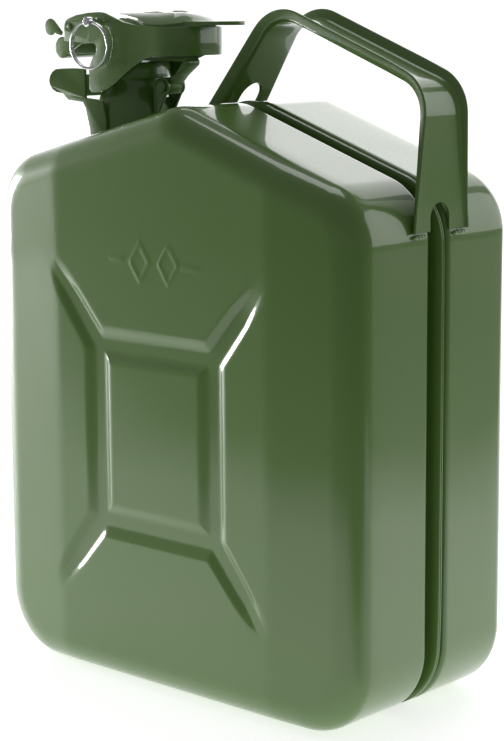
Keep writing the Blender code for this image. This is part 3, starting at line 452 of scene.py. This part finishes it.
def pressed_half(name, side, mat, rows, marks):
    """Outer skin, seam flange and inner skin of one half, as one closed mesh of rings."""
    rim, normal = silhouette(AROUND)
    deep = HALF_D - (MARK_HIGH if marks else 0)
    border = rim - normal * EDGE_R
    rings = []

    def ring(points, y):
        rings.append(np.column_stack([points[:, 0], np.broadcast_to(y, len(points)), points[:, 1]]))

    def sunk(depth, y):
        ring(rim - normal * depth, y)

    centre = np.array([0.0, FACE_CENTRE_Z])
    for scale in np.linspace(FACE_HOLE, 1, rows)[:-1]:
        points = centre + (border - centre) * scale
        ring(points, deep - face_depth(points[:, 0], points[:, 1], marks))
    # rounding from the face to the side wall, starting at the face's own slope
    start = face_depth(border[:, 0], border[:, 1], False)
    step = 0.2 * MM
    beyond = border + normal * step
    slope = (face_depth(beyond[:, 0], beyond[:, 1], False) - start) / step
    drop = EDGE_R - start
    share = np.clip(slope * EDGE_R / drop, 0, 0.3)
    first = share / (1 - share)
    for k in range(15):
        angle = np.arcsin(first) + (math.pi / 2 - np.arcsin(first)) * k / 14
        out = EDGE_R * (np.sin(angle) - first) / (1 - first)
        ring(border + normal * out[:, None], deep - EDGE_R + drop * np.cos(angle) / np.sqrt(1 - first**2))
    # side wall, then the seam channel's mouth, floor and the root of its flange
    for y in WALL_Y:
        ring(rim, y * MM)
    for a in quarter(6):
        sunk(CHANNEL_LIP * (1 - math.cos(a)), CHANNEL_HALF + CHANNEL_LIP - CHANNEL_LIP * math.sin(a))
    for a in quarter(4):
        depth = CHANNEL_DEEP - CHANNEL_FOOT + CHANNEL_FOOT * math.sin(a)
        sunk(depth, CHANNEL_HALF - 0.4 * MM - CHANNEL_FOOT * (1 - math.cos(a)))
    outer = FLANGE_THICK + SEAM_GAP
    for a in quarter(4):
        sunk(CHANNEL_DEEP - CHANNEL_FOOT * (1 - math.cos(a)), outer + CHANNEL_FOOT * (1 - math.sin(a)))
    # flange, with a rounded tip
    sunk(2.5 * MM, outer)
    tip = flange_reach(normal) - FLANGE_EDGE
    ring(rim + normal * tip[:, None], outer)
    for k in (1, 2, 3, 4):
        a = math.pi * k / 5
        y = SEAM_GAP + FLANGE_THICK / 2 + FLANGE_THICK / 2 * math.cos(a)
        ring(rim + normal * (tip + FLANGE_EDGE * math.sin(a))[:, None], y)
    ring(rim + normal * tip[:, None], SEAM_GAP)
    # inner side of the sheet
    inside = CHANNEL_DEEP + SHEET
    sunk(inside - 0.8 * MM, SEAM_GAP)
    sunk(inside, 0.9 * MM)
    sunk(inside, CHANNEL_HALF - 1.4 * MM + SHEET)
    sunk(inside - 1.2 * MM, CHANNEL_HALF + SHEET)
    sunk(SHEET + 1.6 * MM, CHANNEL_HALF + SHEET + 0.2 * MM)
    sunk(SHEET, CHANNEL_HALF + CHANNEL_LIP + 0.8 * MM)
    for y in INNER_WALL_Y:
        sunk(SHEET, y * MM)
    for a in quarter(5):
        y = INNER_WALL_Y[-1] * MM + INNER_EDGE_OUT * math.sin(a)
        sunk(SHEET + INNER_EDGE_IN * (1 - math.cos(a)), y)

    stack = np.array(rings)
    stack[:, :, 1] *= side
    stack[:, :, 0] += CENTRE_X
    levels = len(stack)
    verts = stack.reshape(-1, 3)
    index = np.arange(levels * AROUND).reshape(levels, AROUND)
    a, b = index[:-1], index[1:]
    quads = np.stack([a, np.roll(a, -1, 1), np.roll(b, -1, 1), b], -1).reshape(-1, 4)
    if side < 0:
        quads = quads[:, ::-1]
    # opening for the neck, its rim hidden inside the neck tube's wall
    neck_x = NECK_X + CENTRE_X
    plan = np.hypot(verts[:, 0] - neck_x, verts[:, 1])
    near = (plan < NECK_HOLE_R + NECK_HOLE_REACH) & (verts[:, 2] > NECK_HOLE_ABOVE)
    quads = quads[~near[quads].all(1)]
    used = np.zeros(len(verts), bool)
    used[quads.ravel()] = True
    shift = used & near
    ratio = NECK_HOLE_R / plan[shift]
    verts[shift, 0] = neck_x + (verts[shift, 0] - neck_x) * ratio
    verts[shift, 1] *= ratio
    caps = [index[0][::-side].tolist(), index[-1][::side].tolist()]
    return place(name, smooth_mesh(name, verts.tolist(), quads.tolist() + caps, mat))


# ---------------------------------------------------------------- handle, neck and small pieces
def lofted(name, loops, mat, closed=False):
    """Bridge equal-length closed loops; open ends get a cap."""
    count, width = len(loops), len(loops[0])
    verts = [tuple(p) for loop in loops for p in loop]
    faces = []
    for i in range(count if closed else count - 1):
        a, b = i * width, (i + 1) % count * width
        faces += [(a + k, a + (k + 1) % width, b + (k + 1) % width, b + k) for k in range(width)]
    if not closed:
        faces += [tuple(range(width)), tuple(range((count - 1) * width, count * width))]
    mesh = smooth_mesh(name, verts, faces, mat)
    mesh.set_sharp_from_angle(angle=SHARP_ABOVE)
    return place(name, mesh)


def cut(obj, cutters):
    """Subtract the cutters for good and remove them."""
    for cutter in cutters:
        mod = obj.modifiers.new("cut", "BOOLEAN")
        mod.solver = "EXACT"
        mod.object = cutter
    bpy.context.view_layer.update()
    graph = bpy.context.evaluated_depsgraph_get()
    mesh = bpy.data.meshes.new_from_object(obj.evaluated_get(graph))
    obj.modifiers.clear()
    obj.data = mesh
    mesh.shade_smooth()
    mesh.set_sharp_from_angle(angle=SHARP_ABOVE)
    for cutter in cutters:
        bpy.data.objects.remove(cutter, do_unlink=True)
    return obj


def handle_path():
    """Evenly spaced points of the web's hand side, from the left foot over the top bar to the right."""
    corners = [Vector((x * MM, z * MM)) for x, z in HANDLE_CORNERS]
    path = [corners[0]]
    for i, radius in HANDLE_BENDS:
        centre, towards, half = fillet(corners[i - 1], corners[i], corners[i + 1], radius)
        start = corners[i] + towards * radius / math.tan(half) - centre
        turn = math.pi - 2 * half
        path += [point_at(centre, math.atan2(start.y, start.x) - turn * k / 24, radius) for k in range(25)]
    path.append(corners[-1])
    points = np.array([tuple(p) for p in path])
    run = length_along(points)
    at = np.linspace(0, run[-1], HANDLE_LOOPS)
    x, z = np.interp(at, run, points[:, 0]), np.interp(at, run, points[:, 1])
    return [Vector(p) for p in zip(x.tolist(), z.tolist())]


def handle_section(half, height):
    """Channel section as (outwards, along y), web at 0 with its two flanges outwards."""
    thick, bend = HANDLE_SHEET, SECTION_BEND
    full = math.pi / 2 - SPLAY
    knee = bend * (1 - math.cos(full))
    run = max(SHORTEST_FLANGE, (height - knee) / math.cos(SPLAY))
    lean = Vector((math.cos(SPLAY), math.sin(SPLAY)))
    inward = Vector((math.sin(SPLAY), -math.cos(SPLAY)))
    centre = Vector((bend, half - bend))
    turns = [Vector((-math.cos(full * k / 8), math.sin(full * k / 8))) for k in range(9)]
    outer = [centre + turn * bend for turn in turns]
    inner = [centre + turn * (bend - thick) for turn in reversed(turns)]
    tip = outer[-1] + lean * (run - thick / 2)
    rim = []
    for k in range(7):
        a = math.pi * k / 6
        rim.append(tip + inward * (thick / 2) * (1 - math.cos(a)) + lean * (thick / 2) * math.sin(a))
    flat = half * SECTION_FLAT
    one_side = [Vector((0, flat)), *outer, *rim, *inner, Vector((thick, flat))]
    return one_side + [Vector((p.x, -p.y)) for p in reversed(one_side)]


def channel_handle(mat):
    """The bent channel strip, cut to the body at its left foot and arched at both feet."""
    path = handle_path()
    last = len(path) - 1
    loops = []
    for i, point in enumerate(path):
        tangent = (path[min(i + 1, last)] - path[max(i - 1, 0)]).normalized()
        share = i / last
        foot, leg = max(0, 1 - share / FOOT_UNTIL), max(0, (share - LEG_FROM) / (1 - LEG_FROM))
        half = (BAR_HALF + FOOT_WIDER * foot + LEG_WIDER * leg**1.3) * MM
        height = (BAR_HIGH + FOOT_HIGHER * foot - LEG_LOWER * leg**1.2) * MM
        loop = []
        for p in handle_section(half, height):
            loop.append((point.x - tangent.y * p.x + CENTRE_X, p.y, point.y + tangent.x * p.x))
        loops.append(loop)
    handle = lofted("bar_handle", loops, mat)
    rim, normal = silhouette(240)
    rim = rim + normal * BODY_CLEARANCE
    body = [[(x + CENTRE_X, y, z) for x, z in rim] for y in (-HALF_D, HALF_D)]
    cutters = [lofted("cut_body", body, None)]
    for name, x0, x1, low, spring in ARCHES:
        arch = [(-ARCH_HALF, low * MM)]
        for k in range(25):
            a = math.pi * k / 24
            arch.append((-ARCH_HALF * math.cos(a), spring * MM + ARCH_HALF * math.sin(a)))
        arch.append((ARCH_HALF, low * MM))
        ends = [[(x * MM + CENTRE_X, y, z) for y, z in arch] for x in (x0, x1)]
        cutters.append(lofted("cut_" + name, ends, None))
    return cut(handle, cutters)


def neck_piece(mat):
    """Turned neck with a rolled lip, as one closed skin."""
    inner = [(r - NECK_WALL, z - 0.3) for r, z in reversed(NECK_TAPER)]
    profile = [NECK_FOOT, *NECK_TAPER, *NECK_LIP, *inner, (NECK_FOOT[0] - NECK_WALL, NECK_FOOT[1])]
    turns = [2 * math.pi * k / 96 for k in range(96)]
    centre = NECK_X + CENTRE_X
    loops = []
    for r, z in profile:
        loops.append([(centre + r * MM * math.cos(a), r * MM * math.sin(a), z * MM) for a in turns])
    return lofted("neck", loops, mat, closed=True)


def split_ring(mat):
    """Two turns of thin wire, side by side, hanging in the pin's eye."""
    centre = Vector((LOCK_X + CENTRE_X, RING_Y, LOCK_Z - RING_R))
    axle = Vector((-math.sin(RING_TURN), math.cos(RING_TURN), 0))
    flat = Vector((math.cos(RING_TURN), math.sin(RING_TURN), 0))
    sides = [2 * math.pi * k / WIRE_SIDES for k in range(WIRE_SIDES)]
    loops = []
    for i in range(RING_STEPS):
        angle = 4 * math.pi * i / (RING_STEPS - 1)
        swing = Vector((0, 0, math.sin(angle))) + flat * math.cos(angle)
        shift = RING_SHIFT * math.tanh(9 * (i / (RING_STEPS - 1) - 0.5))
        spine = centre + swing * RING_R + axle * shift
        out, over = swing * RING_WIRE, axle * RING_WIRE
        loops.append([spine + out * math.cos(a) + over * math.sin(a) for a in sides])
    return lofted("split_ring", loops, mat)


def bead(name, y, mat):
    """Rough weld bead under one side of the handle's foot."""
    bm = bmesh.new()
    bmesh.ops.create_icosphere(bm, subdivisions=5, radius=1)
    centre = Vector((HALF_W + BEAD_OUT + CENTRE_X, y, HANDLE_FOOT_Z - BEAD_BELOW))
    for v in bm.verts:
        lump = 0.86 + 0.14 * math.sin(v.co.y * 15) + 0.12 * noise.noise(v.co * 4 + Vector((y * 900, 0, 0)))
        v.co = centre + Vector((v.co.x * lump, v.co.y * BEAD_LENGTH, v.co.z * BEAD_HEIGHT * lump)) * MM
        v.co.x = max(v.co.x, HALF_W + BEAD_CLEARANCE + CENTRE_X)
    mesh = bpy.data.meshes.new(name)
    bm.to_mesh(mesh)
    bm.free()
    mesh.shade_smooth()
    mesh.materials.append(mat)
    return place(name, mesh)


def soften_group(limit):
    """Geometry nodes that drop the imported flat normals and shade smooth up to the limit angle."""
    group = bpy.data.node_groups.new("soften", "GeometryNodeTree")
    group.interface.new_socket("Geometry", in_out="INPUT", socket_type="NodeSocketGeometry")
    group.interface.new_socket("Geometry", in_out="OUTPUT", socket_type="NodeSocketGeometry")
    start, end = group.nodes.new("NodeGroupInput"), group.nodes.new("NodeGroupOutput")
    drop = group.nodes.new("GeometryNodeRemoveAttribute")
    drop.inputs["Name"].default_value = "custom_normal"
    smooth, clear, sharp = (group.nodes.new("GeometryNodeSetShadeSmooth") for _ in range(3))
    smooth.domain, clear.domain, sharp.domain = "FACE", "EDGE", "EDGE"
    sharp.inputs["Shade Smooth"].default_value = False
    angle, over = group.nodes.new("GeometryNodeInputMeshEdgeAngle"), group.nodes.new("ShaderNodeMath")
    over.operation = "GREATER_THAN"
    over.inputs[1].default_value = limit
    for before, after in ((start, drop), (drop, smooth), (smooth, clear), (clear, sharp)):
        group.links.new(before.outputs[0], after.inputs["Geometry"])
    group.links.new(angle.outputs["Unsigned Angle"], over.inputs[0])
    group.links.new(over.outputs[0], sharp.inputs["Selection"])
    group.links.new(sharp.outputs[0], end.inputs[0])
    return group


# ---------------------------------------------------------------- studio
def area_light(name, at, target, width, height, power):
    data = bpy.data.lights.new(name, "AREA")
    data.shape = "RECTANGLE"
    data.size, data.size_y, data.energy = width, height, power
    obj = place(name, data)
    obj.location = at
    obj.rotation_euler = (Vector(target) - Vector(at)).to_track_quat("-Z", "Y").to_euler()


def part_along(tree, coords, axis):
    """How far the coordinates lie along the axis."""
    node = add(tree, "ShaderNodeVectorMath", operation="DOT_PRODUCT")
    tree.links.new(coords, node.inputs[0])
    node.inputs[1].default_value = axis
    return node.outputs["Value"]


def sweep_mask(tree, coords):
    """White paper under and behind the can as (cover, glow), fading out in front of it and to its right."""
    across, away = part_along(tree, coords, ACROSS), part_along(tree, coords, AWAY)
    split = add(tree, "ShaderNodeSeparateXYZ")
    tree.links.new(coords, split.inputs[0])
    x, y = split.outputs["X"], split.outputs["Y"]
    wide = ramp(tree, away, 0, 4, 0.55, 3.2)
    right = ramp(tree, maths(tree, "SUBTRACT", wide, across), -0.1, 0.12, 0, 1)
    corner = maths(tree, "MAXIMUM", ramp(tree, x, 0.14, 0.28, 1, 0), ramp(tree, y, -0.2, -0.05, 0, 1))
    near = ramp(tree, y, -0.52, -0.37, 0, 1)
    slanted = maths(tree, "SUBTRACT", y, ramp(tree, x, -2.3, -0.3, -1.24, 0))
    left = ramp(tree, slanted, -0.44, -0.3, 0, 1)
    right = maths(tree, "MULTIPLY", right, corner)
    cover = maths(tree, "MULTIPLY", right, maths(tree, "MAXIMUM", near, left))
    dim, lift = ramp(tree, y, -0.9, -0.25, 0.5, 1), ramp(tree, away, 0.3, 1.2, 1, 1.5)
    fade = maths(tree, "MULTIPLY", dim, lift)
    return cover, maths(tree, "MULTIPLY", cover, fade)


def studio():
    """Floor with the paper sweep on it, a pale world that is bright low behind the can, and the lamps."""
    mesh = bpy.data.meshes.new("floor")
    (x0, x1), (y0, y1) = FLOOR_X, FLOOR_Y
    mesh.from_pydata([(x0, y0, 0), (x1, y0, 0), (x1, y1, 0), (x0, y1, 0)], [], [(0, 1, 2, 3)])
    mat, tree, shader = tree_of("floor_white")
    coords = add(tree, "ShaderNodeTexCoord").outputs["Object"]
    cover, glow = sweep_mask(tree, coords)
    tree.links.new(mix(tree, cover, BARE_FLOOR, PAPER), shader.inputs["Base Color"])
    shader.inputs["Roughness"].default_value = 0.6
    shader.inputs["Emission Color"].default_value = (1, 1, 1, 1)
    tree.links.new(ramp(tree, glow, 0, 2, 0, 2 * FLOOR_GLOW), shader.inputs["Emission Strength"])
    mesh.materials.append(mat)
    place("floor", mesh)

    world = bpy.data.worlds.new("studio")
    bpy.context.scene.world = world
    world.use_nodes = True
    tree = world.node_tree
    back = tree.nodes["Background"]
    back.inputs["Color"].default_value = (1, 1, 1, 1)
    coords = add(tree, "ShaderNodeTexCoord").outputs["Generated"]
    behind = ramp(tree, part_along(tree, coords, AWAY), 0.25, 0.7, 0, 1)
    split = add(tree, "ShaderNodeSeparateXYZ")
    tree.links.new(coords, split.inputs[0])
    low = ramp(tree, split.outputs["Z"], 0.3, 0.55, 1, 0)
    bright = maths(tree, "MULTIPLY", low, behind)
    tree.links.new(ramp(tree, bright, 0, 1, BACKDROP_DARK, BACKDROP_BRIGHT), back.inputs["Strength"])

    for values in LIGHTS:
        area_light(*values)


def camera():
    data = bpy.data.cameras.new("camera")
    data.lens = CAMERA_LENS
    data.sensor_width = 36
    data.clip_start = 0.05
    obj = place("camera", data)
    turn = (
        Matrix.Rotation(CAMERA_YAW, 4, "Z")
        @ Matrix.Rotation(math.pi / 2 - CAMERA_PITCH, 4, "X")
        @ Matrix.Rotation(CAMERA_ROLL, 4, "Z")
    )
    obj.matrix_world = Matrix.Translation(CAMERA_AT) @ turn
    bpy.context.scene.camera = obj


# ---------------------------------------------------------------- assembly
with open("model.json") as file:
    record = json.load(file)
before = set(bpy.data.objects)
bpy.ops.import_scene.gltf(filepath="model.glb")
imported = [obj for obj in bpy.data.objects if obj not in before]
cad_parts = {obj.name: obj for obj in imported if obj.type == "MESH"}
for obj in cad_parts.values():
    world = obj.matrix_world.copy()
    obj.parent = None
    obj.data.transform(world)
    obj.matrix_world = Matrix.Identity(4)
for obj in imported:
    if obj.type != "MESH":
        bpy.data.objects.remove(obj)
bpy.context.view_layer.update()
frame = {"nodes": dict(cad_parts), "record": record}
nodes = frame["nodes"]

paint = enamel("olive_enamel")
small_paint = enamel("olive_enamel_small", ripple=0.25)
chrome = metal("bright_plating", (0.86, 0.87, 0.88, 1), 0.16, 0.08)
steel = metal("drawn_steel", (0.42, 0.42, 0.41, 1), 0.3, 0.15)
black = rubber("black_rubber")

slots = {s["node"]: s["material_slot"] for s in frame["record"]["subparts"]}
finishes = {
    "green_enamel": small_paint,
    "chrome_plate": chrome,
    "plain_steel": steel,
    "black_rubber": black,
}
for name, node in nodes.items():
    node.data.materials.clear()
    node.data.materials.append(finishes[slots[name]])

# the shown CAD nodes get rounded edges and smooth curves, through modifiers only
soften = soften_group(SOFT_BELOW)
for name, node in nodes.items():
    if name in REPLACED:
        continue
    node.modifiers.new("weld", "WELD").merge_threshold = SAME_POINT
    flat = node.modifiers.new("flat", "DECIMATE")
    flat.decimate_type = "DISSOLVE"
    flat.angle_limit = SAME_PLANE
    edge = node.modifiers.new("edge", "BEVEL")
    edge.width = BEVELS.get(name, USUAL_BEVEL) * MM
    edge.segments = 3
    edge.limit_method = "ANGLE"
    edge.angle_limit = BEVEL_ABOVE
    node.modifiers.new("soften", "NODES").node_group = soften

pieces = (
    (pressed_half("front_half", -1, paint, FRONT_RINGS, True), "front_shell", "green_enamel", "body"),
    (pressed_half("rear_half", 1, paint, REAR_RINGS, False), "rear_shell", "green_enamel", "body"),
    (channel_handle(small_paint), "handle", "green_enamel", "body"),
    (neck_piece(small_paint), "neck_tube", "green_enamel", "body"),
    (bead("front_bead", -BEAD_Y, small_paint), "front_weld", "green_enamel", "body"),
    (bead("rear_bead", BEAD_Y, small_paint), "rear_weld", "green_enamel", "body"),
    (split_ring(chrome), "pull_ring", "chrome_plate", "ring_group"),
)
for obj, node, slot, body in pieces:
    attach(obj, body)
    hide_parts(node)

camera()
studio()
bpy.context.scene.view_settings.view_transform = "Standard"
